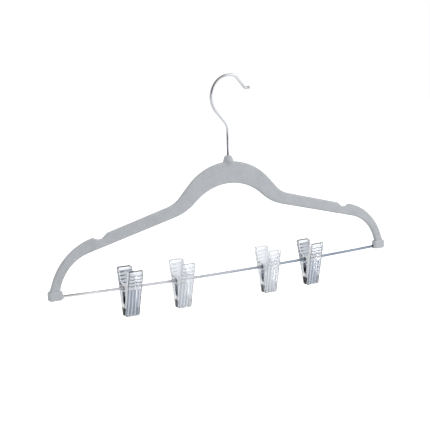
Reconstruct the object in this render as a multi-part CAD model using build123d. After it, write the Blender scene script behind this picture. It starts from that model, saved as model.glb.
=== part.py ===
"""Skirt hanger: a flocked shoulder hanger with a chrome swivel hook, a trouser bar
and four clear clips that slide on the bar.

Frame of the part, in millimetres: the origin is the middle of the bar's axis, +X runs
along the bar to the right, -Y faces the front and +Z points up to the hook.
The bar sags a little between the cuffs, so everything is drawn from the line through the
bar where it enters the cuffs, and lifted by the sag when it is saved.
Front and rear jaws are drawn as if they were rear ones (+Y) and mirrored to the front.
"""

from build123d import *
from math import asin, atan, atan2, cos, degrees, dist, radians, sin, sqrt, tan
import os

os.makedirs("parts", exist_ok=True)


# Fits and helpers used all over the part
overrun = 1.0
running_fit = 0.05
seat_fit = 0.1
side_play = 0.3

# Hanger body: a flat moulded plate, symmetric about X = 0
body_width = 444.5
plate_thickness = 5.0
plate_edge_bevel = 1.0
bevel_land = 0.2

# Shoulders: straight between the neck and the arms
shoulder_height = 101.4
shoulder_end_height = 43.2
shoulder_depth = 15.4
shoulder_end_depth = 9.7
outer_shoulder_rise = 1.1

# Crown: an arch over and an arch under, each with a valley beside it
crown_rise = 22.9
crown_radius = 72.0
crown_angle = 47.0
crown_valley_share = 0.365
crown_depth = 24.8
arch_radius = 66.0
arch_angle = 42.0
arch_valley_share = 0.97

# Arms: the bends at the shoulder ends
arm_outer_angle = 69.5
arm_outer_share = 0.774
arm_inner_angle = 75.3
arm_inner_share = 0.927

# Strap notch in the top of each shoulder, short of the arm's bend
notch_before_bend = 10.5
notch_floor_width = 5.0
notch_inner_run = 7.0
notch_outer_run = 5.3
notch_depth = 3.3
notch_round = 2.6
notch_lip_round = 1.8

# Neck boss that carries the hook, flared into the crown
neck_height = 6.8
neck_radius = 4.6
neck_top_round = 1.3
neck_flare_share = 0.9
neck_cone_depth = 16.0

# Trouser bar
bar_diameter = 3.0
bar_sag = 3.3
bar_end_chamfer = 0.3
bar_end_cover = 2.4

# End cuffs: sleeves pushed over the arm ends, locked by the bar's ends
cuff_width = 15.0
cuff_height = 10.5
cuff_below_bar = 3.5
cuff_end_wall = 1.8
cuff_side_wall = 1.3
cuff_floor = 1.2
cuff_round = 2.4
cuff_edge_bevel = 1.0
cuff_boss_wall = 1.2
cuff_boss_height = 1.2

# Hook: one bent wire that turns in the neck boss
hook_wire = 3.0
hook_stem_rise = 33.5
hook_stem_bend_radius = 15.0
hook_lean_angle = 40.7
hook_run = 15.8
hook_loop_radius = 24.2
hook_loop_angle = 142.7
hook_nose_radius = 8.0
hook_nose_angle = 37.3
hook_nose_run = 14.7
hook_lip_radius = 3.4
hook_lip_angle = 54.0
hook_lip_run = 3.0
hook_tip_step = 0.25
hook_stem_depth = 18.0
bead_step = 0.7
bead_height = 2.0
bead_depth = 6.0
bead_chamfer = 0.5
stem_chamfer = 0.4

# Clips: places along the free half of the bar, from left to right
clip_place_shares = (-0.619, -0.3088, 0.2427, 0.5341)

# Clip jaws: a wedge of two plates with side flanges and solid tip blocks
clip_width_top = 17.0
clip_width_tip = 16.3
handle_height = 21.0
jaw_drop = 31.3
handle_spread = 32.5
tip_spread = 8.0
jaw_wall = 1.6
jaw_corner_round = 2.0
tip_corner_round = 1.2
tip_block_height = 13.2
flange_wall = 1.2
flange_depth = 4.2
flange_top_gap = 0.8
flange_waist = 7.0

# Pivot: a bush on the bar, and rings and ears of the jaws on the bush
bar_play = 0.45
journal_wall = 0.55
bush_middle_step = 0.7
ring_wall = 1.5
ear_wall = 1.2
ear_reach_up = 5.0
ear_reach_down = 0.8
lug_under_angle = 30.0

# Leaf spring: one strip that hangs below the bush and folds round both jaw tips
steel = 0.5
arm_gap = 0.5
spring_bush_gap = 1.2
spring_front_reach = 1.4
spring_bend_radius = 3.5
fold_radius = 0.9
tip_fold_radius = 1.2
hook_rise = 9.0
curl_reach = 3.2
spring_side_gap = 0.4

# Finger ridges on the handles: short arcs in two columns
ridge_rows = 4
ridge_chords = 3
ridge_pitch = 3.9
ridge_first_drop = 5.2
ridge_chord = 6.4
ridge_sag = 1.1
ridge_width = 1.2
ridge_height = 0.45
ridge_column_offset = 3.9

# Flutes on the jaws: round bars along the face, cut off at a slant at both ends
flute_count = 4
flute_pitch = 4.0
flute_radius = 1.6
flute_height = 0.55
flute_start = 0.6
flute_overhang = 0.3
flute_hook_gap = 1.0
flute_end_angle = 45.0


# Sizes and places that follow from the ones above
cuff_middle = (body_width - cuff_width) / 2
cuff_inner_face = cuff_middle - cuff_width / 2
cuff_top = cuff_height - cuff_below_bar
cuff_thickness = plate_thickness + 2 * cuff_side_wall
tongue_width = cuff_width - 2 * cuff_end_wall
tongue_bottom = cuff_floor + seat_fit - cuff_below_bar
tongue_corner = plate_edge_bevel + bevel_land
crown_top = shoulder_height + crown_rise
boss_top = crown_top + neck_height
bar_hole_diameter = bar_diameter + 2 * seat_fit
bar_bend_radius = (cuff_middle ** 2 + bar_sag ** 2) / (2 * bar_sag)
bead_diameter = hook_wire + 2 * bead_step
jaw_height = handle_height + jaw_drop
wedge = degrees(atan2((handle_spread - tip_spread) / 2, jaw_height))
bush_bore = bar_diameter + 2 * bar_play
journal_diameter = bush_bore + 2 * journal_wall
bush_middle_diameter = journal_diameter + 2 * bush_middle_step
ring_diameter = journal_diameter + 2 * ring_wall
flange_place = clip_width_top / 2 - flange_wall
ear_place = flange_place - side_play - ear_wall
arm_place = (arm_gap + steel) / 2
grip_place = arm_place + steel / 2 + seat_fit
block_top = tip_block_height - jaw_drop
spring_top = bush_middle_diameter / 2 + spring_bush_gap


def line_from(point, angle):
    """A falling line of the half outline: its height at the middle and its fall for each unit of X."""
    fall = tan(radians(angle))
    return point[1] + point[0] * fall, fall


def height_on(line, x):
    """Height of a falling line at x."""
    return line[0] - x * line[1]


def crossing(first, second):
    """Point where two falling lines meet."""
    x = (first[0] - second[0]) / (first[1] - second[1])
    return x, height_on(first, x)


def fitted_radius(first, second, straight, share):
    """Radius of an arc between two falling lines that uses up a share of the straight beside it."""
    turn = abs(atan(first[1]) - atan(second[1]))
    return share * straight / tan(turn / 2)


def bar_height(x):
    """Height of the bar's axis at x: a shallow arc through both cuffs."""
    return bar_bend_radius - bar_sag - sqrt(bar_bend_radius ** 2 - x ** 2)


def along_bar(x):
    """Frame on the bar's axis at x, turned with the bar's slope."""
    return Pos(x, 0, bar_height(x)) * Rot(0, -degrees(asin(x / bar_bend_radius)), 0)


def bar_rod(diameter, half_length):
    """A round rod along the bar's arc, for the bar itself and for the holes that it passes through."""
    end_face = along_bar(-half_length) * Rot(0, 90, 0) * Circle(diameter / 2)
    middle_of_arc = Axis((0, 0, bar_bend_radius - bar_sag), (0, -1, 0))
    return revolve(end_face, middle_of_arc, 2 * degrees(asin(half_length / bar_bend_radius)))


def save(shape, name):
    """Write one node, lifted so that the bar's middle is the origin, with its name in the file."""
    shape = Pos(0, 0, bar_sag) * shape
    shape.label = name
    export_step(shape, f"parts/{name}.step")


def both_sides(shape):
    """The shape and its mirror image across the middle plane X = 0."""
    return shape + mirror(shape, about=Plane.YZ)


def arch_apex(top, radius, angle):
    """Height at which the two tangents of an arch meet over its top."""
    return top - radius + radius / cos(radians(angle))


def valley(apex, radius, angle, shoulder, share):
    """Corner beside an arch, with the radius that fits between the arch and the shoulder line."""
    side = line_from((0, apex), angle)
    corner = crossing(side, shoulder)
    straight = dist((0, apex), corner) - radius * tan(radians(angle))
    return corner, fitted_radius(side, shoulder, straight, share)


def arm_bend(shoulder, tongue_corner_place, angle, share):
    """Corner between a shoulder line and an arm's side, with its radius and the straight that it uses."""
    side = line_from(tongue_corner_place, angle)
    corner = crossing(shoulder, side)
    straight = dist(corner, tongue_corner_place)
    return corner, fitted_radius(shoulder, side, straight, share), share * straight


def body_outline():
    """Half outline corners with their radii, from the crown outwards and back underneath."""
    crown_apex = arch_apex(crown_top, crown_radius, crown_angle)
    under_apex = arch_apex(crown_top - crown_depth, arch_radius, arch_angle)
    outer, inner = cuff_middle + tongue_width / 2, cuff_middle - tongue_width / 2
    fall = (shoulder_height - shoulder_end_height) / outer
    shoulder = (shoulder_height, fall)
    outer_shoulder = (shoulder_height + outer_shoulder_rise, fall)
    under_height = shoulder_height - shoulder_depth
    under_shoulder = (under_height, (under_height - shoulder_end_height + shoulder_end_depth) / inner)

    bend_top, bend_top_radius, bend_run = arm_bend(
        outer_shoulder, (outer, cuff_top), arm_outer_angle, arm_outer_share)
    bend_under, bend_under_radius, _ = arm_bend(
        under_shoulder, (inner, cuff_top), arm_inner_angle, arm_inner_share)

    notch_middle = bend_top[0] - bend_run * cos(atan(fall)) - notch_before_bend
    floor_height = height_on(shoulder, notch_middle) - notch_depth
    floor_inner = notch_middle - notch_floor_width / 2
    floor_outer = notch_middle + notch_floor_width / 2
    inner_lip, outer_lip = floor_inner - notch_inner_run, floor_outer + notch_outer_run
    half = [
        valley(crown_apex, crown_radius, crown_angle, shoulder, crown_valley_share),
        ((inner_lip, height_on(shoulder, inner_lip)), notch_lip_round),
        ((floor_inner, floor_height), notch_round),
        ((floor_outer, floor_height), notch_round),
        ((outer_lip, height_on(outer_shoulder, outer_lip)), notch_lip_round),
        (bend_top, bend_top_radius),
        ((outer, cuff_top), tongue_corner),
        ((outer, tongue_bottom), tongue_corner),
        ((inner, tongue_bottom), tongue_corner),
        ((inner, cuff_top), tongue_corner),
        (bend_under, bend_under_radius),
        valley(under_apex, arch_radius, arch_angle, under_shoulder, arch_valley_share),
    ]
    return ((0, crown_apex), crown_radius), half, ((0, under_apex), arch_radius)


def hanger_body():
    """The moulded plate with its neck boss, the hook's bore and the holes for the bar."""
    crown, half, under_crown = body_outline()
    left = [((-x, z), radius) for (x, z), radius in reversed(half)]
    corners = [crown] + half + [under_crown] + left
    with BuildSketch(Plane.XZ) as outline:
        with BuildLine():
            FilletPolyline(*[place for place, radius in corners],
                           radius=[radius for place, radius in corners], close=True)
        make_face()
        neck_flare = neck_flare_share * (neck_height - neck_top_round)
        neck_foot, neck_side_top = crown_top - neck_flare, boss_top - neck_top_round
        with Locations((0, (neck_foot + neck_side_top) / 2)):
            Rectangle(2 * neck_radius, neck_side_top - neck_foot)
        inner_corners = outline.vertices().filter_by(
            lambda v: abs(abs(v.X) - neck_radius) < running_fit and neck_foot < v.Z < crown_top)
        fillet(inner_corners, neck_flare)
    plate = extrude(outline.sketch, plate_thickness / 2, both=True)
    faces = plate.faces().sort_by(Axis.Y)
    plate = chamfer(faces[0].edges() + faces[-1].edges(), plate_edge_bevel)

    with BuildSketch(Plane.XZ) as barrel:
        with BuildLine():
            Polyline((0, boss_top), (neck_radius, boss_top), (neck_radius, crown_top),
                     (0, crown_top - neck_cone_depth), close=True)
        make_face()
        rim = barrel.vertices().filter_by(lambda v: v.X > 0 and v.Z > crown_top + running_fit)
        fillet(rim, neck_top_round)
    plate += revolve(barrel.sketch, Axis.Z)

    bore_radius = hook_wire / 2 + running_fit
    bore_depth = hook_stem_depth + running_fit
    plate -= Pos(0, 0, boss_top + overrun - (bore_depth + overrun) / 2) * Cylinder(
        bore_radius, bore_depth + overrun)
    plate -= Pos(0, 0, boss_top - bead_depth) * Cylinder(
        bead_diameter / 2 + running_fit, bead_height + 2 * running_fit)
    return plate - bar_rod(bar_hole_diameter, body_width / 2)


def hook():
    """The hook's wire: stem, leaning run, loop, down-turned nose and lip, with a ball tip."""
    stem_foot = boss_top - hook_stem_depth
    bend_start = boss_top + hook_stem_rise - hook_stem_bend_radius * tan(radians(hook_lean_angle / 2))
    with BuildLine(Plane.XZ) as wire:
        stem = Line((0, stem_foot), (0, bend_start))
        bend = JernArc(stem @ 1, stem % 1, hook_stem_bend_radius, hook_lean_angle)
        run = PolarLine(bend @ 1, hook_run, direction=bend % 1)
        loop = JernArc(run @ 1, run % 1, hook_loop_radius, -hook_loop_angle)
        nose = JernArc(loop @ 1, loop % 1, hook_nose_radius, -hook_nose_angle)
        slope = PolarLine(nose @ 1, hook_nose_run, direction=nose % 1)
        lip = JernArc(slope @ 1, slope % 1, hook_lip_radius, hook_lip_angle)
        tip = PolarLine(lip @ 1, hook_lip_run, direction=lip % 1)
    rod = sweep(Plane(origin=(0, 0, stem_foot), z_dir=(0, 0, 1)) * Circle(hook_wire / 2), path=wire.line)
    rod = chamfer(rod.edges().sort_by(Axis.Z)[0], stem_chamfer)
    rod += Pos(wire.line @ 1) * Sphere(hook_wire / 2 + hook_tip_step)
    bead = Pos(0, 0, boss_top - bead_depth) * Cylinder(bead_diameter / 2, bead_height)
    return rod + chamfer(bead.edges().filter_by(GeomType.CIRCLE), bead_chamfer)


def right_cuff():
    """The right end cuff: a rounded sleeve with a pocket for the arm's tongue."""
    block = Box(cuff_width, cuff_thickness, cuff_height)
    block = fillet(block.edges().filter_by(Axis.Y), cuff_round)
    faces = block.faces().sort_by(Axis.Y)
    block = chamfer(faces[0].edges() + faces[-1].edges(), cuff_edge_bevel)
    block = Pos(cuff_middle, 0, (cuff_top - cuff_below_bar) / 2) * block
    boss = along_bar(cuff_inner_face) * Rot(0, 90, 0) * Cylinder(
        bar_diameter / 2 + cuff_boss_wall, 2 * cuff_boss_height)
    pocket_floor = tongue_bottom - seat_fit
    pocket_height = cuff_top + overrun - pocket_floor
    pocket = Pos(cuff_middle, 0, pocket_floor + pocket_height / 2) * Box(
        tongue_width + 2 * seat_fit, plate_thickness + 2 * seat_fit, pocket_height)
    return block + boss - pocket - bar_rod(bar_hole_diameter, cuff_middle)


def trouser_bar():
    """The steel bar, bowed down a little, whose ends sit inside the arms' tongues."""
    end_place = body_width / 2 - bar_end_cover - bar_end_chamfer
    end_cone = Cone(bar_diameter / 2, bar_diameter / 2 - bar_end_chamfer, bar_end_chamfer,
                    align=(Align.CENTER, Align.CENTER, Align.MIN))
    return bar_rod(bar_diameter, end_place) + both_sides(along_bar(end_place) * Rot(0, 90, 0) * end_cone)


def outer_depth(z):
    """Distance of a jaw's outer face from the clip's middle plane, at height z."""
    return tip_spread / 2 + (z + jaw_drop) * tan(radians(wedge))


def inner_depth(z, depth):
    """The same for a plane that lies the given depth under the outer face."""
    return outer_depth(z) - depth / cos(radians(wedge))


def face_plane():
    """Plane on the rear jaw's outer face at the bar's height, with y up the face."""
    tilt = radians(wedge)
    return Plane(origin=(0, outer_depth(0), 0), x_dir=(-1, 0, 0), z_dir=(0, cos(tilt), -sin(tilt)))


def jaw_plate():
    """Outer wall and tip block of a rear jaw, across the whole width."""
    points = [
        (outer_depth(handle_height), handle_height),
        (outer_depth(-jaw_drop), -jaw_drop),
        (grip_place, -jaw_drop),
        (grip_place, block_top),
        (inner_depth(block_top, jaw_wall), block_top),
        (inner_depth(handle_height, jaw_wall), handle_height),
    ]
    profile = make_face(Polyline(*points, close=True))
    plate = extrude(Plane.YZ * profile, clip_width_top / 2, both=True)
    plate = fillet(edge_across(plate, grip_place, block_top), fold_radius - steel / 2)
    return fillet(edge_across(plate, grip_place, -jaw_drop), tip_fold_radius - steel / 2)


def edge_across(shape, depth, height):
    """The edge along X that runs through the given depth and height."""
    return shape.edges().filter_by(Axis.X).filter_by(
        lambda e: abs(e.center().Y - depth) < running_fit and abs(e.center().Z - height) < running_fit)


def face_outline():
    """Prism of the jaw's front outline: a slight taper with rounded corners."""
    tilt = cos(radians(wedge))
    top, tip = handle_height / tilt, -jaw_drop / tilt
    corners = [(clip_width_top / 2, top), (clip_width_tip / 2, tip),
               (-clip_width_tip / 2, tip), (-clip_width_top / 2, top)]
    with BuildSketch(face_plane()) as outline:
        with BuildLine():
            FilletPolyline(*corners, close=True,
                           radius=[jaw_corner_round, tip_corner_round, tip_corner_round, jaw_corner_round])
        make_face()
    return extrude(outline.sketch, handle_spread, dir=(0, 1, 0), both=True)


def ridge_band():
    """A smile-shaped band: the lowest part of a ring in a few chords, its ends at the row's height."""
    radius = (ridge_chord ** 2 / 4 + ridge_sag ** 2) / (2 * ridge_sag)
    half_turn = atan2(ridge_chord / 2, radius - ridge_sag)
    turns = [half_turn * (2 * i / ridge_chords - 1) for i in range(ridge_chords + 1)]

    def arc_points(distance, angles):
        return [(distance * sin(a), radius - ridge_sag - distance * cos(a)) for a in angles]

    low = arc_points(radius + ridge_width / 2, turns)
    high = arc_points(radius - ridge_width / 2, reversed(turns))
    return make_face(Polyline(*low, *high, close=True))


def finger_ridges():
    """Rows of short arcs in two columns, standing on the handle's face."""
    band = extrude(ridge_band(), ridge_height)
    first = (handle_height - ridge_first_drop) / cos(radians(wedge))
    places = [(column, first - row * ridge_pitch, 0)
              for row in range(ridge_rows) for column in (-ridge_column_offset, ridge_column_offset)]
    return [face_plane() * Pos(*place) * band for place in places]


def flutes(bottom):
    """Round bars down the jaw's face to the given height, sunk so that only their crowns stand out."""
    tilt = cos(radians(wedge))
    high, low = -flute_start / tilt, bottom / tilt
    sink = flute_radius - flute_height
    run = flute_height / tan(radians(flute_end_angle))
    round_bar = Pos(0, (high + low) / 2, -sink) * Rot(90, 0, 0) * Cylinder(flute_radius, high - low)
    side = make_face(Polyline(
        (low, 0), (low + run, flute_height), (high - run, flute_height), (high, 0), close=True))
    crown = extrude(Plane.YZ * side, flute_radius, both=True)
    bar = round_bar & crown
    first = -(flute_count - 1) / 2 * flute_pitch
    return [face_plane() * Pos(first + flute_pitch * i, 0, 0) * bar for i in range(flute_count)]


def ring_lug(height_up, height_down):
    """Side profile of a lug that carries a ring: from the plate's wall to the ring's far side."""
    ring = ring_diameter / 2
    up_wall = (inner_depth(height_up, jaw_wall / 2), height_up)
    down_wall = (inner_depth(height_down, jaw_wall / 2), height_down)
    under_ring = (ring * sin(radians(lug_under_angle)), -ring * cos(radians(lug_under_angle)))
    wall = make_face(Polyline((0, ring), up_wall, down_wall, under_ring, (0, 0), close=True))
    return wall + Circle(ring)


def across(profile, inner, thickness):
    """A plate of the given side profile on both sides of the clip, from |x| = inner outwards."""
    return both_sides(Pos(inner, 0, 0) * extrude(Plane.YZ * profile, thickness))


def flange_profile():
    """Side wall of a jaw: deep along the handle, waisted at the pivot, down to the tip block."""
    top = handle_height - flange_top_gap
    waist = flange_waist
    middle = (block_top - waist) / 2
    return make_face(Polyline(
        (inner_depth(top, jaw_wall / 2), top),
        (inner_depth(top, flange_depth), top),
        (inner_depth(waist, flange_depth), waist),
        (ring_diameter / 2 + side_play, waist / 2),
        (ring_diameter / 2 + side_play, -waist / 2),
        (inner_depth(middle, flange_depth), middle),
        (inner_depth(block_top, flange_depth), block_top),
        (grip_place + fold_radius, block_top - fold_radius),
        (inner_depth(block_top - fold_radius, jaw_wall / 2), block_top - fold_radius),
        close=True))


def jaw(front):
    """One clear jaw, drawn as a rear one. The front jaw has its rings in the flanges, outside the ears
    of the rear jaw, and its flutes run to the tip. The rear jaw's tip is relieved for the spring's hook."""
    shape = jaw_plate() + across(flange_profile(), flange_place, flange_wall)
    ring_space = Rot(0, 90, 0) * Cylinder(ring_diameter / 2 + side_play, clip_width_top)
    if front:
        shape += across(ring_lug(flange_waist, -ear_reach_down), flange_place, flange_wall)
        flute_end = -jaw_drop - flute_overhang
    else:
        shape -= ring_space
        shape += across(ring_lug(ear_reach_up, -ear_reach_down), ear_place, ear_wall)
        flute_end = hook_rise + flute_hook_gap - jaw_drop
    shape = shape & face_outline()
    shape = shape + finger_ridges() + flutes(flute_end)
    if not front:
        tilt = cos(radians(wedge))
        relief_height = (hook_rise + steel / 2 + seat_fit) / tilt
        relief = Box(clip_width_top - 2 * flange_wall, 2 * relief_height, 2 * (steel + seat_fit))
        shape -= face_plane() * Pos(0, -jaw_drop / tilt, 0) * relief
        shape = fillet(edge_across(shape, inner_depth(-jaw_drop, steel + seat_fit), -jaw_drop),
                       tip_fold_radius - steel / 2)
    shape -= Rot(0, 90, 0) * Cylinder(journal_diameter / 2 + running_fit, clip_width_top)
    return mirror(shape, about=Plane.XZ) if front else shape


def bush():
    """The pivot bush: bored for the bar, thick between the ears, with a journal at each end."""
    middle_half = ear_place - side_play / 2
    shape = Rot(0, 90, 0) * Cylinder(bush_middle_diameter / 2, 2 * middle_half)
    shape += Rot(0, 90, 0) * Cylinder(journal_diameter / 2, clip_width_tip)
    return shape - Rot(0, 90, 0) * Cylinder(bush_bore / 2, clip_width_top)


def spring():
    """The leaf spring: hooked round the rear tip, up the rear wall, over, and down to a front curl."""
    wall_gap = jaw_wall + seat_fit + steel / 2
    shelf = block_top + seat_fit + steel / 2
    foot = -jaw_drop - seat_fit - steel / 2
    corners = [
        ((inner_depth(hook_rise - jaw_drop, steel / 2), hook_rise - jaw_drop), None),
        ((inner_depth(foot, steel / 2), foot), tip_fold_radius),
        ((arm_place, foot), tip_fold_radius),
        ((arm_place, shelf), fold_radius),
        ((inner_depth(shelf, wall_gap), shelf), fold_radius),
        ((inner_depth(-spring_top, wall_gap), -spring_top), spring_bend_radius),
        ((-spring_front_reach, -spring_top), spring_bend_radius),
        ((-arm_place, shelf), spring_bend_radius),
        ((-arm_place, foot), tip_fold_radius),
        ((-curl_reach, foot), None),
    ]
    path = FilletPolyline(*[place for place, radius in corners],
                          radius=[radius for place, radius in corners if radius])
    strip = make_face(offset(path, steel / 2, kind=Kind.TANGENT, side=Side.BOTH, closed=True))
    width = 2 * (flange_place - spring_side_gap)
    return extrude(Plane.YZ * strip, width / 2, both=True)


save(hanger_body(), "hanger_body")
save(hook(), "hook")
save(right_cuff(), "right_cuff")
save(mirror(right_cuff(), about=Plane.YZ), "left_cuff")
save(trouser_bar(), "trouser_bar")

front_jaw = jaw(front=True)
rear_jaw = jaw(front=False)
clip_pieces = {"bush": bush(), "front_jaw": front_jaw, "rear_jaw": rear_jaw, "spring": spring()}
for number, share in enumerate(clip_place_shares, start=1):
    for piece, shape in clip_pieces.items():
        save(along_bar(share * cuff_inner_face) * shape, f"clip_{number}_{piece}")
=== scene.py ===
"""Looks of the skirt hanger: flocked body, chrome hook, steel bar and clear spring clips.

Lengths are in metres, in the frame of the CAD model: the origin is the middle of the bar's axis,
+X runs along the bar to the right, -Y faces the front and +Z points up to the hook.
"""

import math

import bmesh
import bpy
import numpy as np
from mathutils import Matrix, Vector


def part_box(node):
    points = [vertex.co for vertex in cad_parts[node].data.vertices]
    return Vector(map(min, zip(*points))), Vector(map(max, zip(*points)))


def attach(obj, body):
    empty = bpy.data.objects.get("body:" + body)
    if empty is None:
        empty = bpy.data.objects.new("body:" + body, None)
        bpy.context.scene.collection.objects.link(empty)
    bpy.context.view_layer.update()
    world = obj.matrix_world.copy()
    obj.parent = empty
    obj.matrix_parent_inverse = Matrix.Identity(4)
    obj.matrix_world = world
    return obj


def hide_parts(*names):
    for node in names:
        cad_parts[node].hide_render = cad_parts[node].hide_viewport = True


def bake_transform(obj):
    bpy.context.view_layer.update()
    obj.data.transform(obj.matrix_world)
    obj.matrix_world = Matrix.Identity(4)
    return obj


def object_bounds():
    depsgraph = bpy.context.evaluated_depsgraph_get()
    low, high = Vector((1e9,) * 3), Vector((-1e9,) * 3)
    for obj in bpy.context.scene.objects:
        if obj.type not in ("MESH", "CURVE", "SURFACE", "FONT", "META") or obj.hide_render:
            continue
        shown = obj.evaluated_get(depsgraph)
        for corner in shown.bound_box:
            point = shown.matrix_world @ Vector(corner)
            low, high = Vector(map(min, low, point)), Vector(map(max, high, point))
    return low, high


MM = 0.001

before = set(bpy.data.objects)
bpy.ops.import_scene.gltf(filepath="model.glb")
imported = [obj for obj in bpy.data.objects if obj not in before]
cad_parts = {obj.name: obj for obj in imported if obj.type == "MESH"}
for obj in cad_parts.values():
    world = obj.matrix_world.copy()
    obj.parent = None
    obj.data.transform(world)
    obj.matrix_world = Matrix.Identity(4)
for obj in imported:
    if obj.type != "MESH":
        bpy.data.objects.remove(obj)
cad_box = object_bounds()


# Colours


def srgb(red, green, blue):
    """A colour given as screen values from 0 to 255, in the linear values that shaders use."""
    values = [v / 255 for v in (red, green, blue)]
    linear = [v / 12.92 if v <= 0.04045 else ((v + 0.055) / 1.055) ** 2.4 for v in values]
    return (*linear, 1.0)


BLACK = (0.0, 0.0, 0.0, 1.0)
PAPER_WHITE = (1.0, 1.0, 1.0, 1.0)
ROOM_GREY = (0.82, 0.82, 0.82, 1.0)
FLOOR_GREY = (0.82, 0.82, 0.82, 1.0)
FLOCK_GREY = srgb(173, 176, 180)
CUFF_GREY = srgb(176, 180, 185)
CHROME_TINT = srgb(174, 176, 180)
# Painted reflection on the bar: lighter at its left end, darker and bluer at its right
BAR_LEFT_REFLECTION = srgb(200, 200, 203)
BAR_RIGHT_REFLECTION = srgb(116, 125, 139)
SPRING_TINT = srgb(226, 231, 238)
# Painted shade on the spring's cut edges and in its fold, for a plain clip and for the palest
SPRING_PAINTED_SHADE, SPRING_PAINTED_SHADE_FAINT = srgb(54, 55, 58), srgb(196, 197, 200)
# The bush's clear tint, and the painted shade on its ends
BUSH_TINT, BUSH_END_SHADE = srgb(246, 248, 251), srgb(196, 200, 208)

# The clear jaws, with painted shade and painted light for how light bends through the plastic, and
# the faint tints that their lines take on the palest clips
CLEAR_TINT = srgb(248, 250, 253)
WALL_PAINTED_LIGHT, WALL_PAINTED_SHADE = srgb(252, 253, 255), srgb(168, 173, 182)
GROOVE_PAINTED_SHADE, GROOVE_SHADE_FAINT = srgb(176, 184, 197), srgb(236, 239, 245)
FLUTE_PAINTED_LIGHT, FLUTE_LIGHT_FAINT = srgb(238, 242, 248), srgb(255, 255, 255)
REAR_PAINTED_SHADE = srgb(186, 191, 200)
RIDGE_PAINTED_SHADE = srgb(152, 158, 172)
DASH_PAINTED_SHADE = srgb(70, 74, 82)
BAND_PAINTED_SHADE = srgb(150, 156, 168)
HANDLE_RIM_SHADE, FACE_RIM_SHADE, TOP_RIM_SHADE = srgb(98, 102, 110), srgb(146, 152, 164), srgb(52, 55, 60)
LINE_FAINT = srgb(230, 233, 238)
# Painted shade, near black, on the sides of the tips
TIP_PAINTED_SHADE, TIP_PAINTED_SHADE_FAINT = srgb(6, 6, 7), srgb(150, 151, 154)

# How pale each clip is, from left to right: the middle ones catch more light
PALENESS = (0.0, 0.7, 0.8, 0.1)


# Finishes

# The scale of a noise is its number of grains per metre
FIBRE_SCALE, TUFT_SCALE, PATCH_SCALE = 2600.0, 900.0, 45.0
TUFT_HEIGHT = 0.6
SPECK_SPAN, LEAN_SPAN = (0.7, 1.3), (0.35, 0.65)
SMUDGE_SPAN, SCRATCH_SPAN = (0.45, 0.75), (0.6, 0.72)
FLOCK_ROUGHNESS, FLOCK_SPECULAR, SHEEN_ROUGHNESS = 0.95, 0.15, 0.45
FLOCK_BUMP, FIBRE_LENGTH = 0.5, 0.25 * MM
SCRATCH_MARK = 0.6
WORN_SHARE = 0.18
METAL_GRAIN, METAL_BUMP = 60.0, 0.15
WIRE_SCRATCH, STRIP_SCRATCH = 0.004 * MM, 0.02 * MM
CLEAR_SMOOTH, CLEAR_SMUDGED, CLEAR_GRAIN = 0.03, 0.10, 150.0
CLEAR_ALONG = (300.0, 300.0, 90.0)
CLEAR_BUMP, CLEAR_WAVE = 0.1, 0.02 * MM
CLEAR_INDEX = 1.12
JAW_CLEARNESS, BUSH_CLEARNESS = 0.54, 0.7
# Where along the bar, in metres, its painted reflection turns from the left tint to the right
BAR_REFLECTION_SPAN = (-0.2, 0.1)


# Forms that the looks follow, in millimetres

NECK_DROPS = (0.0, 0.7, 1.8, 3.6, 5.6, 6.8, 9.0)
NECK_FACTORS = (0.68, 0.84, 1.0, 1.12, 1.24, 1.28, 1.0)
NECK_RADIUS, NECK_REACH = 5.0, 9.0
BAR_BEND_RADIUS = 6989.0
HANDLE_HEIGHT, JAW_DROP = 21.0, 31.3
JAW_TOP_HALF, JAW_TIP_HALF = 8.5, 8.15
JAW_TIP_DEPTH = 4.0
JAW_WEDGE = math.atan2(12.25, 52.3)
TIP_FOLD_TOP = -22.3
RIDGE_TOP_ROW, RIDGE_PITCH = 15.2, 3.9
BAND_FOOT = 16.6


# Soft borders of the tints

# Each runs from where a change starts to where it is complete. Those of the jaws go by the relief
# over the outer face, the height over the pivot, the distance from the plate's edge and the
# distance across from the middle, all in millimetres
OUTER_RELIEF, UNDER_RELIEF = (-0.3, -0.05), (-0.25, -0.05)
INNER_RELIEF_FROM, INNER_RELIEF_TO = (-2.0, -1.8), (-1.3, -1.1)
DEEP_RELIEF = (-2.2, -1.4)
CROWN_RELIEF, RIDGE_RELIEF = (0.34, 0.50), (0.08, 0.30)
FLUTES_TOP = (-0.9, -0.3)
FLUTES_FOOT, FOOT_SHARE = (0.6 - JAW_DROP, 2.4 - JAW_DROP), 0.8
TOP_RIM_HEIGHT = (HANDLE_HEIGHT - 1.2, HANDLE_HEIGHT - 0.7)
BAND_HALF_HEIGHT, BAND_TO_SHADE = (0.3, 0.6), (-0.3, 0.3)
TIP_HEIGHT = (TIP_FOLD_TOP - 0.4, TIP_FOLD_TOP + 0.4)
WALL_WIDTH, RIM_WIDTH, TIP_WIDTH = (0.05, 0.2), (0.6, 1.1), (0.7, 1.0)
DASH_ACROSS, DASH_FAINT = (-1.5, 0.5), 0.15
ROW_WAVE = (0.3, 0.9)

# Those of the spring and the bush go by how squarely a face looks into the fold or sideways, from
# 0 to 1, and the fold also by the height over the pivot
INTO_FOLD = (0.5, 0.85)
FOLD_HEIGHT, FOLD_SHARE = (-13.0, -7.0), 0.9
STRIP_SIDEWAYS, BUSH_SIDEWAYS = (0.6, 0.9), (0.5, 0.9)


# Shader tools

NODE_SPACING = 180


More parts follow.
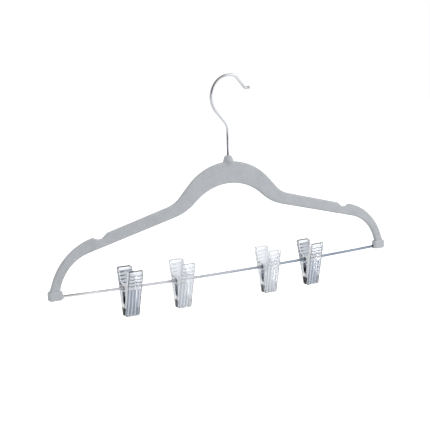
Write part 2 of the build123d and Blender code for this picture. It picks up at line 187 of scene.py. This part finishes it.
class Nodes:
    """Short hand for building a node tree: each call adds a node and links what it is given."""

    def __init__(self, tree):
        self.tree = tree
        self.column = 0

    def add(self, kind, **settings):
        """A new node of that kind, with its settings, placed to the right of the last one."""
        node = self.tree.nodes.new(kind)
        node.location = (self.column * NODE_SPACING, 0)
        self.column += 1
        for name, value in settings.items():
            setattr(node, name, value)
        return node

    def feed(self, socket, value):
        """Links an output socket to an input, or sets the input to a plain value."""
        if isinstance(value, bpy.types.NodeSocket):
            self.tree.links.new(value, socket)
        else:
            socket.default_value = value

    def noise(self, where, scale, detail, roughness):
        """Noise with that many grains per metre."""
        node = self.add("ShaderNodeTexNoise")
        self.feed(node.inputs["Vector"], where)
        self.feed(node.inputs["Scale"], scale)
        self.feed(node.inputs["Detail"], detail)
        self.feed(node.inputs["Roughness"], roughness)
        return node.outputs["Fac"]

    def remap(self, value, low, high, to_low, to_high):
        """The value moved from one range to another, and held inside it."""
        node = self.add("ShaderNodeMapRange", clamp=True)
        for name, number in zip(("Value", "From Min", "From Max", "To Min", "To Max"),
                                (value, low, high, to_low, to_high)):
            self.feed(node.inputs[name], number)
        return node.outputs["Result"]

    def rising(self, value, span):
        """A mask that grows from 0 to 1 over a span of the value."""
        return self.remap(value, *span, 0.0, 1.0)

    def falling(self, value, span, most=1.0, least=0.0):
        """A mask that shrinks from its most to its least over a span of the value."""
        return self.remap(value, *span, most, least)

    def sums(self, kind, first, second=0.0):
        """One sum of two values, or of one value for the kinds that take no second."""
        node = self.add("ShaderNodeMath", operation=kind)
        self.feed(node.inputs[0], first)
        self.feed(node.inputs[1], second)
        return node.outputs[0]

    def both(self, first, second):
        """The product of two values: where two masks meet, or one value scaled by another."""
        return self.sums("MULTIPLY", first, second)

    def mixed(self, share, first, second):
        """A mix of two colours."""
        node = self.add("ShaderNodeMix", data_type="RGBA", blend_type="MIX")
        self.feed(node.inputs["Factor"], share)
        self.feed(node.inputs["A"], first)
        self.feed(node.inputs["B"], second)
        return node.outputs["Result"]

    def axes(self, vector):
        """The X, Y and Z of a vector, as the outputs of one node."""
        node = self.add("ShaderNodeSeparateXYZ")
        self.feed(node.inputs[0], vector)
        return node.outputs

    def place(self):
        """The point on the piece in the model's own frame."""
        return self.add("ShaderNodeTexCoord").outputs["Object"]

    def facing(self):
        """The direction that the surface faces, in the model's own frame."""
        return self.axes(self.add("ShaderNodeTexCoord").outputs["Normal"])

    def kept(self, name):
        """A number that the mesh keeps for each of its points."""
        return self.add("ShaderNodeAttribute", attribute_name=name).outputs["Fac"]

    def group(self, tree, **values):
        """A placed node group with its inputs fed."""
        node = self.add("ShaderNodeGroup")
        node.node_tree = tree
        for name, value in values.items():
            self.feed(node.inputs[name], value)
        return node

    def result(self, **values):
        """Ends a group: its output node, with the sockets fed."""
        node = self.add("NodeGroupOutput")
        for name, value in values.items():
            self.feed(node.inputs[name], value)

    def bump(self, shader, height, strength, distance):
        """A bump of that height feeding the shader's normal."""
        node = self.add("ShaderNodeBump")
        self.feed(node.inputs["Height"], height)
        self.feed(node.inputs["Strength"], strength)
        self.feed(node.inputs["Distance"], distance)
        self.feed(shader.inputs["Normal"], node.outputs["Normal"])


def new_group(name, inputs, outputs):
    """An empty shader node group with sockets of the named kinds, and what its inputs give."""
    tree = bpy.data.node_groups.new(name, "ShaderNodeTree")
    for sockets, way in ((inputs, "INPUT"), (outputs, "OUTPUT")):
        for label, kind in sockets.items():
            tree.interface.new_socket(name=label, in_out=way, socket_type=f"NodeSocket{kind}")
    nodes = Nodes(tree)
    return nodes, nodes.add("NodeGroupInput").outputs, tree


def new_material(name):
    """A material with one Principled shader, and the tool that builds its nodes."""
    material = bpy.data.materials.new(name)
    material.use_nodes = True
    nodes = Nodes(material.node_tree)
    shader = material.node_tree.nodes["Principled BSDF"]
    return material, nodes, shader


# Shared effects


def nap_group():
    """Flock: short upright fibres, as a fine speckle, with broad soft patches where the nap leans
    another way. Colour is the base brightened or darkened by both, and Height is the fibre tips
    for a bump."""
    nodes, given, tree = new_group(
        "flock nap",
        {"Place": "Vector", "Base": "Color", "Speckle": "Float", "Lean": "Float"},
        {"Colour": "Color", "Height": "Float"},
    )
    fibres = nodes.noise(given["Place"], FIBRE_SCALE, detail=3.0, roughness=0.7)
    tufts = nodes.noise(given["Place"], TUFT_SCALE, detail=2.0, roughness=0.6)
    patches = nodes.noise(given["Place"], PATCH_SCALE, detail=3.0, roughness=0.55)
    speck = nodes.remap(nodes.sums("ADD", fibres, tufts), *SPECK_SPAN, -1.0, 1.0)
    lean = nodes.remap(patches, *LEAN_SPAN, -1.0, 1.0)
    change = nodes.sums("ADD", nodes.both(speck, given["Speckle"]),
                        nodes.both(lean, given["Lean"]))
    scale = nodes.add("ShaderNodeVectorMath", operation="SCALE")
    nodes.feed(scale.inputs[0], given["Base"])
    nodes.feed(scale.inputs["Scale"], nodes.sums("ADD", change, 1.0))
    nodes.result(Colour=scale.outputs[0],
                 Height=nodes.sums("ADD", fibres, nodes.both(tufts, TUFT_HEIGHT)))
    return tree


def handling_group():
    """Marks of use on a smooth surface: smudges that raise the roughness, and thin scratches drawn
    out along one axis. Roughness is the finished value, Height is for a bump, and Mask is where
    the surface is marked."""
    nodes, given, tree = new_group(
        "handling marks",
        {"Place": "Vector", "Smooth": "Float", "Smudged": "Float", "Along": "Vector",
         "Grain": "Float"},
        {"Roughness": "Float", "Height": "Float", "Mask": "Float"},
    )
    clouds = nodes.noise(given["Place"], given["Grain"], detail=4.0, roughness=0.6)
    smudge = nodes.rising(clouds, SMUDGE_SPAN)
    stretch = nodes.add("ShaderNodeVectorMath", operation="MULTIPLY")
    nodes.feed(stretch.inputs[0], given["Place"])
    nodes.feed(stretch.inputs[1], given["Along"])
    lines = nodes.noise(stretch.outputs[0], 1.0, detail=3.0, roughness=0.6)
    scratch = nodes.rising(lines, SCRATCH_SPAN)
    mask = nodes.sums("MAXIMUM", smudge, nodes.both(scratch, SCRATCH_MARK))
    span = nodes.sums("SUBTRACT", given["Smudged"], given["Smooth"])
    rough = nodes.sums("ADD", given["Smooth"], nodes.both(mask, span))
    nodes.result(Roughness=rough, Height=lines, Mask=mask)
    return tree


NAP = nap_group()
HANDLING = handling_group()


# Materials


def flock_material(name, base, speckle, lean, sheen):
    """Flocked plastic: no gloss, and a pale sheen where the fibres are seen from the side."""
    material, nodes, shader = new_material(name)
    nap = nodes.group(NAP, Place=nodes.place(), Base=base, Speckle=speckle, Lean=lean)
    nodes.feed(shader.inputs["Base Color"], nap.outputs["Colour"])
    shader.inputs["Roughness"].default_value = FLOCK_ROUGHNESS
    shader.inputs["Specular IOR Level"].default_value = FLOCK_SPECULAR
    shader.inputs["Sheen Weight"].default_value = sheen
    shader.inputs["Sheen Roughness"].default_value = SHEEN_ROUGHNESS
    shader.inputs["Sheen Tint"].default_value = PAPER_WHITE
    nodes.bump(shader, nap.outputs["Height"], FLOCK_BUMP, FIBRE_LENGTH)
    return material


def fold_shade(nodes):
    """A mask of the folded strip's painted shade: on its cut edges, which face along the clip's
    width, and on the faces that look into the fold, the more so the deeper they lie, where little
    light gets in."""
    facing = nodes.facing()
    into_fold = nodes.both(nodes.both(facing["Y"], nodes.kept("inside")), -1.0)
    deep = nodes.both(nodes.rising(into_fold, INTO_FOLD),
                      nodes.falling(nodes.kept("height"), FOLD_HEIGHT, FOLD_SHARE))
    edge = nodes.rising(nodes.sums("ABSOLUTE", facing["X"]), STRIP_SIDEWAYS)
    return nodes.sums("MAXIMUM", deep, edge)


def metal_material(name, tint, smooth, smudged, along, scratch, right_reflection=None, shades=None):
    """Plated metal with drawing lines along the wire and smudges from hands. A long rod may take a
    painted reflection whose tint changes towards its right end. A folded strip has two tints for
    its painted shade: that of a plain clip and that of the palest."""
    material, nodes, shader = new_material(name)
    place = nodes.place()
    marks = nodes.group(HANDLING, Place=place, Smooth=smooth, Smudged=smudged, Along=along,
                        Grain=METAL_GRAIN)
    colour = tint
    # Painted reflection: the tint turns towards the right one along the rod
    if right_reflection:
        colour = nodes.mixed(nodes.rising(nodes.axes(place)["X"], BAR_REFLECTION_SPAN), tint, right_reflection)
    colour = nodes.mixed(nodes.both(marks.outputs["Mask"], WORN_SHARE), colour, BLACK)
    # Painted shade on the strip's cut edges and in its fold
    if shades:
        colour = nodes.mixed(fold_shade(nodes), colour, nodes.mixed(nodes.kept("pale"), *shades))
    nodes.feed(shader.inputs["Base Color"], colour)
    nodes.feed(shader.inputs["Roughness"], marks.outputs["Roughness"])
    shader.inputs["Metallic"].default_value = 1.0
    nodes.bump(shader, marks.outputs["Height"], METAL_BUMP, scratch)
    return material


def clear_shader(name, clearness):
    """A clear plastic material without its colour: transmission, a low index and faint smudges.
    The low index keeps the pieces behind it readable, and what isn't transmitted gives the plastic
    a milky white."""
    material, nodes, shader = new_material(name)
    marks = nodes.group(HANDLING, Place=nodes.place(), Smooth=CLEAR_SMOOTH, Smudged=CLEAR_SMUDGED,
                        Along=CLEAR_ALONG, Grain=CLEAR_GRAIN)
    nodes.feed(shader.inputs["Roughness"], marks.outputs["Roughness"])
    shader.inputs["Transmission Weight"].default_value = clearness
    shader.inputs["IOR"].default_value = CLEAR_INDEX
    nodes.bump(shader, marks.outputs["Height"], CLEAR_BUMP, CLEAR_WAVE)
    return material, nodes, shader


def bush_material():
    """Clear bush, with painted shade where the wall is seen end on."""
    material, nodes, shader = clear_shader("clear_bush", BUSH_CLEARNESS)
    end = nodes.rising(nodes.sums("ABSOLUTE", nodes.facing()["X"]), BUSH_SIDEWAYS)
    nodes.feed(shader.inputs["Base Color"], nodes.mixed(end, BUSH_TINT, BUSH_END_SHADE))
    return material


def jaw_material():
    """Clear jaw whose colour holds painted shade and painted light for how light bends through the
    moulded plastic: painted shade in the grooves between paler painted flutes, on the finger
    ridges, along the outline of each face, as a dark line along the top of the handle and a grey
    line at the foot of its top band, and near black on the tip's sides. The side walls are painted
    a little lighter, and the flutes end in a pale painted foot. The rear handle also shows painted
    shade on its inner face under its top band, with its ridges as painted dashes that are darker to
    the left, also through its side walls, which are painted grey. Each tint is mixed in over the
    ones before it, and turns into its faint one as the clip gets paler.

    The mesh keeps each point's height over the pivot, its distance across from the middle and how
    far it stands proud of the outer face, all in millimetres, how pale its clip is, and whether
    the jaw is the rear one. The plate's half width runs straight from the tip to the top, and the
    rows of ridges follow the cosine of the height, one turn for each pitch."""
    material, nodes, shader = clear_shader("clear_jaw", JAW_CLEARNESS)
    relief, height, across, pale, rear = (
        nodes.kept(name) for name in ("relief", "height", "across", "pale", "rear"))
    both, rising, falling = nodes.both, nodes.rising, nodes.falling

    half_width = nodes.remap(height, -JAW_DROP, HANDLE_HEIGHT, JAW_TIP_HALF, JAW_TOP_HALF)
    to_edge = nodes.sums("SUBTRACT", half_width, nodes.sums("ABSOLUTE", across))
    from_band = nodes.sums("SUBTRACT", height, BAND_FOOT)
    turn = both(nodes.sums("SUBTRACT", height, RIDGE_TOP_ROW), 2 * math.pi / RIDGE_PITCH)

    below = falling(height, FLUTES_TOP)
    above = nodes.sums("SUBTRACT", 1.0, below)
    outer = rising(relief, OUTER_RELIEF)
    inner = both(rising(relief, INNER_RELIEF_FROM), falling(relief, INNER_RELIEF_TO))
    behind = falling(relief, UNDER_RELIEF)
    rows = rising(nodes.sums("COSINE", turn), ROW_WAVE)

    side = both(falling(to_edge, WALL_WIDTH), behind)
    face = both(outer, below)
    crown = both(face, rising(relief, CROWN_RELIEF))
    foot = both(face, falling(height, FLUTES_FOOT, FOOT_SHARE))
    wall = both(both(side, above), rear)
    rear_face = both(both(rear, inner), falling(from_band, BAND_TO_SHADE))
    ridge = both(above, rising(relief, RIDGE_RELIEF))
    dashes = both(both(rear_face, rows), falling(across, DASH_ACROSS, 1.0, DASH_FAINT))
    band = both(inner, falling(nodes.sums("ABSOLUTE", from_band), BAND_HALF_HEIGHT))
    rim = both(outer, falling(to_edge, RIM_WIDTH))
    top = rising(height, TOP_RIM_HEIGHT)
    shaded = nodes.sums("MAXIMUM", rear, falling(relief, DEEP_RELIEF))
    # Painted shade, near black, on the tip's sides
    tip = both(both(falling(to_edge, TIP_WIDTH), both(falling(height, TIP_HEIGHT), behind)), shaded)

    # Painted shade and painted light, laid in turn over the clear tint
    rim_shade = nodes.mixed(below, HANDLE_RIM_SHADE, FACE_RIM_SHADE)
    colour = CLEAR_TINT
    for mask, tint, faint in (
            (side, WALL_PAINTED_LIGHT, CLEAR_TINT), (face, GROOVE_PAINTED_SHADE, GROOVE_SHADE_FAINT),
            (crown, FLUTE_PAINTED_LIGHT, FLUTE_LIGHT_FAINT), (foot, FLUTE_PAINTED_LIGHT, FLUTE_LIGHT_FAINT),
            (wall, WALL_PAINTED_SHADE, CLEAR_TINT), (rear_face, REAR_PAINTED_SHADE, CLEAR_TINT),
            (ridge, RIDGE_PAINTED_SHADE, LINE_FAINT), (both(wall, rows), DASH_PAINTED_SHADE, LINE_FAINT),
            (dashes, DASH_PAINTED_SHADE, LINE_FAINT), (band, BAND_PAINTED_SHADE, LINE_FAINT),
            (rim, rim_shade, LINE_FAINT), (top, TOP_RIM_SHADE, LINE_FAINT),
            (tip, TIP_PAINTED_SHADE, TIP_PAINTED_SHADE_FAINT)):
        colour = nodes.mixed(mask, colour, nodes.mixed(pale, tint, faint))
    nodes.feed(shader.inputs["Base Color"], colour)
    return material


FLOCK = flock_material("flocked_body", FLOCK_GREY, speckle=0.17, lean=0.04, sheen=0.22)
CUFF = flock_material("flocked_cuffs", CUFF_GREY, speckle=0.10, lean=0.02, sheen=0.15)
CHROME = metal_material("hook_chrome", CHROME_TINT, smooth=0.06, smudged=0.14,
                        along=(500.0, 500.0, 60.0), scratch=WIRE_SCRATCH)
BAR_STEEL = metal_material("bar_steel", BAR_LEFT_REFLECTION, smooth=0.34, smudged=0.42,
                           along=(20.0, 1500.0, 1500.0), scratch=WIRE_SCRATCH,
                           right_reflection=BAR_RIGHT_REFLECTION)
SPRING_STEEL = metal_material("spring_steel", SPRING_TINT, smooth=0.25, smudged=0.36,
                              along=(60.0, 900.0, 900.0), scratch=STRIP_SCRATCH,
                              shades=(SPRING_PAINTED_SHADE, SPRING_PAINTED_SHADE_FAINT))
CLEAR = jaw_material()
CLEAR_BUSH = bush_material()


# Pieces

WELD = 0.0005 * MM
CREASE = math.radians(32.0)
RELAX_FACTOR = 0.5
BODY_VOXEL, BODY_ROUNDS = 0.7 * MM, 6
CUFF_VOXEL, CUFF_ROUNDS = 0.3 * MM, 5


def new_piece(name, mesh):
    """A mesh placed in the scene as a piece."""
    piece = bpy.data.objects.new(name, mesh)
    bpy.context.scene.collection.objects.link(piece)
    return piece


def reworked(mesh, name, work_on):
    """A copy of a mesh under its own name, with one step worked on it."""
    mesh = mesh.copy()
    mesh.name = name
    work = bmesh.new()
    work.from_mesh(mesh)
    work_on(work)
    work.to_mesh(mesh)
    work.free()
    return mesh


def merged_copy(node, name):
    """A copy of a CAD node's mesh with its loose triangles joined at their corners."""

    def weld(work):
        bmesh.ops.remove_doubles(work, verts=work.verts, dist=WELD)

    mesh = reworked(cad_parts[node].data, name, weld)
    mesh.materials.clear()
    return new_piece(name, mesh)


def smoothed(piece):
    """The piece shaded smooth, apart from edges that turn by more than a crease does."""
    for face in piece.data.polygons:
        face.use_smooth = True
    piece.data.set_sharp_from_angle(angle=CREASE)
    return piece


def all_points(piece):
    """The places of a piece's points in metres, one row each."""
    places = np.empty(3 * len(piece.data.vertices), dtype=np.float32)
    piece.data.vertices.foreach_get("co", places)
    return places.reshape(-1, 3)


def dress(piece, node, material, body):
    """Gives a piece its material and its body, and hides the CAD node that it stands for."""
    piece.data.materials.clear()
    piece.data.materials.append(material)
    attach(piece, body)
    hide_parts(node)
    return piece


def flocked_piece(node, name, voxel, rounds, material):
    """A flocked moulding of the hanger: the CAD form rebuilt as an even net of small faces and
    relaxed, so that its edges are soft under the flock."""
    piece = merged_copy(node, name)
    net = piece.modifiers.new("net", "REMESH")
    net.mode = "VOXEL"
    net.voxel_size = voxel
    relax = piece.modifiers.new("relax", "SMOOTH")
    relax.factor = RELAX_FACTOR
    relax.iterations = rounds
    bpy.context.view_layer.update()
    shaped = piece.evaluated_get(bpy.context.evaluated_depsgraph_get())
    finished = bpy.data.meshes.new_from_object(shaped)
    piece.modifiers.clear()
    piece.data = finished
    for face in piece.data.polygons:
        face.use_smooth = True
    return dress(piece, node, material, "hanger")


def moulded_piece(node, name, material, body):
    """A moulding or turned piece that keeps its CAD form, with smooth shading on round faces."""
    return dress(smoothed(merged_copy(node, name)), node, material, body)


def round_neck(piece):
    """Softens the neck boss under its flock. Each point's distance from the stem's axis is
    multiplied by one plus the fade times the factor less one. The factor goes by the drop below
    the boss's top: small at the cap, one at the waist, growing to the foot and one again in the
    crown. The fade goes by the distance from the axis: one inside the boss's radius, falling to
    nothing at its reach."""
    points = all_points(piece)
    drop = (points[:, 2].max() - points[:, 2]) / MM
    radius = np.hypot(points[:, 0], points[:, 1]) / MM
    fade = np.interp(radius, (NECK_RADIUS, NECK_REACH), (1.0, 0.0))
    points[:, :2] *= (1 + fade * (np.interp(drop, NECK_DROPS, NECK_FACTORS) - 1))[:, None]
    piece.data.vertices.foreach_set("co", points.ravel())
    piece.data.update()


round_neck(flocked_piece("hanger_body", "flocked_hanger", BODY_VOXEL, BODY_ROUNDS, FLOCK))
for side in ("left", "right"):
    flocked_piece(f"{side}_cuff", f"{side}_end_cuff", CUFF_VOXEL, CUFF_ROUNDS, CUFF)
moulded_piece("hook", "swivel_hook", CHROME, "hook")
moulded_piece("trouser_bar", "plated_bar", BAR_STEEL, "hanger")


# Clips

CUT_TOLERANCE = 0.0001 * MM
REARWARD = Vector((0, 1, 0))
LEAF_END_DEPTHS = {"front": -0.5 * MM, "rear": 5.5 * MM}


def clip_place(number, piece):
    """Each point of a clip's piece in the clip's own upright: its offset from the pivot across the
    clip, its offset in depth and its height, in millimetres. The offset is turned in the upright
    plane by the bar's slope there, the angle whose sine is the pivot's place along the bar over
    the radius of the bar's bend."""
    low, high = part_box(f"clip_{number}_bush")
    pivot = np.array((low + high) / 2) / MM
    tilt = math.asin(pivot[0] / BAR_BEND_RADIUS)
    offset = all_points(piece) / MM - pivot
    across = offset[:, 0] * math.cos(tilt) + offset[:, 2] * math.sin(tilt)
    height = offset[:, 2] * math.cos(tilt) - offset[:, 0] * math.sin(tilt)
    return across, offset[:, 1], height


def mark(piece, **values):
    """Keeps one number for each point of a piece, under a name that its material reads."""
    count = len(piece.data.vertices)
    for name, numbers in values.items():
        attribute = piece.data.attributes.new(name, "FLOAT", "POINT")
        attribute.data.foreach_set("value", np.broadcast_to(numbers, count).astype(np.float32))


def clear_jaw(number, side):
    """One jaw with its material's numbers. Relief is how far a point stands proud of the jaw's
    outer face, a plane that leans out by the wedge angle: the point's depth less the plane's depth
    at that height, times the cosine of the angle. The plane's depth is the tip's depth plus the
    height over the tip times the tangent of the angle."""
    clip = f"clip_{number}"
    piece = smoothed(merged_copy(f"{clip}_{side}_jaw", f"{clip}_{side}_clear_jaw"))
    across, depth, height = clip_place(number, piece)
    face = JAW_TIP_DEPTH + (height + JAW_DROP) * math.tan(JAW_WEDGE)
    relief = (np.abs(depth) - face) * math.cos(JAW_WEDGE)
    mark(piece, height=height, across=across, relief=relief, pale=PALENESS[number - 1],
         rear=float(side == "rear"))
    return dress(piece, f"{clip}_{side}_jaw", CLEAR, f"{clip}_{side}")


def half_strip(whole, name, split, rear):
    """The rear or the front half of a strip, cut at the upright plane through a point. The cut
    stays open, because the two halves meet there."""

    def cut(work):
        bmesh.ops.bisect_plane(work, geom=work.verts[:] + work.edges[:] + work.faces[:],
                               dist=CUT_TOLERANCE, plane_co=split, plane_no=REARWARD,
                               clear_inner=rear, clear_outer=not rear)

    return new_piece(name, reworked(whole.data, name, cut))


def leaf_spring(number):
    """The folded strip in two halves that meet over the bend, in the clip's middle plane.
    The number inside is 1 on the rear half and -1 on the front one, and tells the faces that look
    into the fold."""
    clip = f"clip_{number}"
    whole = merged_copy(f"{clip}_spring", f"{clip}_whole_strip")
    low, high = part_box(f"{clip}_spring")
    middle = (low.x + high.x) / 2
    split = Vector((middle, 0, high.z))
    for side, end_depth in LEAF_END_DEPTHS.items():
        rear = side == "rear"
        half = smoothed(half_strip(whole, f"{clip}_{side}_leaf", split, rear))
        mark(half, height=clip_place(number, half)[2], inside=1.0 if rear else -1.0,
             pale=PALENESS[number - 1])
        half.data.materials.clear()
        half.data.materials.append(SPRING_STEEL)
        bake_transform(half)
        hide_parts(f"{clip}_spring")
    bpy.data.objects.remove(whole)


for number in range(1, len(PALENESS) + 1):
    clip = f"clip_{number}"
    moulded_piece(f"{clip}_bush", f"{clip}_clear_bush", CLEAR_BUSH, f"{clip}_bush")
    clear_jaw(number, "front")
    clear_jaw(number, "rear")
    leaf_spring(number)


# Camera: the photograph's place and lens

FRAME_WIDTH_PX = 430
FOCAL_PX = 1000
SENSOR_MM = 36.0
VIEW_TURN, VIEW_RISE, VIEW_ROLL = math.radians(-29.9), math.radians(9.8), math.radians(-1.85)
FRAME_LIFT = 1.3 * MM
CAMERA_SHIFT = Vector((19.0 * MM, -63.9 * MM, -1148.7 * MM))
NEAREST, FARTHEST = 0.05, 20.0


def add_camera():
    """A camera whose right, up and back directions come from the turn, rise and roll, placed so
    that the model's origin lies at the given shift in the camera's own axes, and then raised by
    the lift."""
    back = Vector((math.sin(VIEW_TURN) * math.cos(VIEW_RISE),
                   -math.cos(VIEW_TURN) * math.cos(VIEW_RISE), math.sin(VIEW_RISE)))
    level_right = Vector((math.cos(VIEW_TURN), math.sin(VIEW_TURN), 0))
    level_up = back.cross(level_right)
    right = math.cos(VIEW_ROLL) * level_right + math.sin(VIEW_ROLL) * level_up
    up = math.cos(VIEW_ROLL) * level_up - math.sin(VIEW_ROLL) * level_right
    place = -(CAMERA_SHIFT.x * right + CAMERA_SHIFT.y * up + CAMERA_SHIFT.z * back)
    place.z += FRAME_LIFT
    data = bpy.data.cameras.new("camera")
    data.sensor_width = SENSOR_MM
    data.lens = FOCAL_PX * SENSOR_MM / FRAME_WIDTH_PX
    data.clip_start, data.clip_end = NEAREST, FARTHEST
    camera = bpy.data.objects.new("camera", data)
    rows = [(right[axis], up[axis], back[axis], place[axis]) for axis in range(3)]
    camera.matrix_world = Matrix((*rows, (0, 0, 0, 1)))
    bpy.context.scene.collection.objects.link(camera)
    bpy.context.scene.camera = camera


add_camera()


# Studio: white room, pale floor and soft lamps

FLOOR_DROP = 0.28
FLOOR_SIZE = 12.0
FLOOR_GLOW = 0.60
FLAG_TILT = math.radians(80.0)
FLAG_AXIS = (math.sin(FLAG_TILT) * math.cos(VIEW_TURN), math.sin(FLAG_TILT) * math.sin(VIEW_TURN),
             math.cos(FLAG_TILT))
FLAG_BORDER = (0.34, 0.62)
FLAG_FOOT = (0.0, 0.2)
MIDDLE = (0.0, 0.0, 0.08)
LAMPS = (
    # name, place, target, width and power
    ("key_lamp", (-0.2, -1.5, 1.5), MIDDLE, 1.4, 3.5),
    ("fill_lamp", (0.85, -0.6, 0.5), (0.2, 0.0, 0.05), 1.0, 4.6),
    ("top_lamp", (0.8, -0.2, 1.3), MIDDLE, 1.2, 3.5),
    ("back_lamp", (0.4, 1.6, 1.2), MIDDLE, 1.4, 5.0),
)


def seen_directly(nodes, paths):
    """1 for rays that show a thing to the camera, straight, mirrored or through glass, and 0 for
    the rays that only light it."""
    seen = nodes.sums("MAXIMUM", paths["Is Camera Ray"], paths["Is Glossy Ray"])
    return nodes.sums("MAXIMUM", seen, paths["Is Transmission Ray"])


def add_room():
    """A white world. Mirrored rays also see a dark flag, as in a studio, which draws the dark lines
    in chrome: a band that runs overhead from the camera's side to the back and leans to the left.
    A ray sees it darker the nearer it runs to the band's plane and the more it climbs."""
    world = bpy.data.worlds.new("studio")
    bpy.context.scene.world = world
    world.use_nodes = True
    nodes = Nodes(world.node_tree)
    background = world.node_tree.nodes["Background"]
    paths = nodes.add("ShaderNodeLightPath").outputs
    direction = nodes.add("ShaderNodeTexCoord").outputs["Generated"]
    slant = nodes.add("ShaderNodeVectorMath", operation="DOT_PRODUCT")
    nodes.feed(slant.inputs[0], direction)
    nodes.feed(slant.inputs[1], FLAG_AXIS)
    beside = nodes.rising(nodes.sums("ABSOLUTE", slant.outputs["Value"]), FLAG_BORDER)
    under = nodes.falling(nodes.axes(direction)["Z"], FLAG_FOOT)
    unmirrored = nodes.sums("SUBTRACT", 1.0, paths["Is Glossy Ray"])
    bright = nodes.sums("MAXIMUM", nodes.sums("MAXIMUM", beside, under), unmirrored)
    level = nodes.mixed(seen_directly(nodes, paths), ROOM_GREY, bright)
    nodes.feed(background.inputs["Color"], level)
    background.inputs["Strength"].default_value = 1.0


def add_floor():
    """A wide white floor below the hanging hanger. To the camera it is white, with the shadow left
    in."""
    mesh = bpy.data.meshes.new("floor")
    half = FLOOR_SIZE / 2
    level = float(cad_box[0][2] - FLOOR_DROP)
    corners = [(-half, -half, level), (half, -half, level), (half, half, level),
               (-half, half, level)]
    mesh.from_pydata(corners, [], [(0, 1, 2, 3)])
    floor = bpy.data.objects.new("floor", mesh)
    bpy.context.scene.collection.objects.link(floor)
    material, nodes, shader = new_material("floor_paper")
    shader.inputs["Base Color"].default_value = FLOOR_GREY
    shader.inputs["Roughness"].default_value = 1.0
    shader.inputs["Specular IOR Level"].default_value = 0.0
    shader.inputs["Emission Color"].default_value = PAPER_WHITE
    seen = seen_directly(nodes, nodes.add("ShaderNodeLightPath").outputs)
    nodes.feed(shader.inputs["Emission Strength"], nodes.both(seen, FLOOR_GLOW))
    mesh.materials.append(material)


def add_lamp(name, place, target, width, power):
    """A square soft lamp that faces its target."""
    data = bpy.data.lights.new(name, "AREA")
    data.shape = "SQUARE"
    data.size = width
    data.energy = power
    lamp = bpy.data.objects.new(name, data)
    lamp.location = place
    aim = Vector(target) - Vector(place)
    lamp.rotation_euler = aim.to_track_quat("-Z", "Y").to_euler()
    bpy.context.scene.collection.objects.link(lamp)


add_room()
add_floor()
for lamp in LAMPS:
    add_lamp(*lamp)

scene = bpy.context.scene
scene.view_settings.view_transform = "Standard"
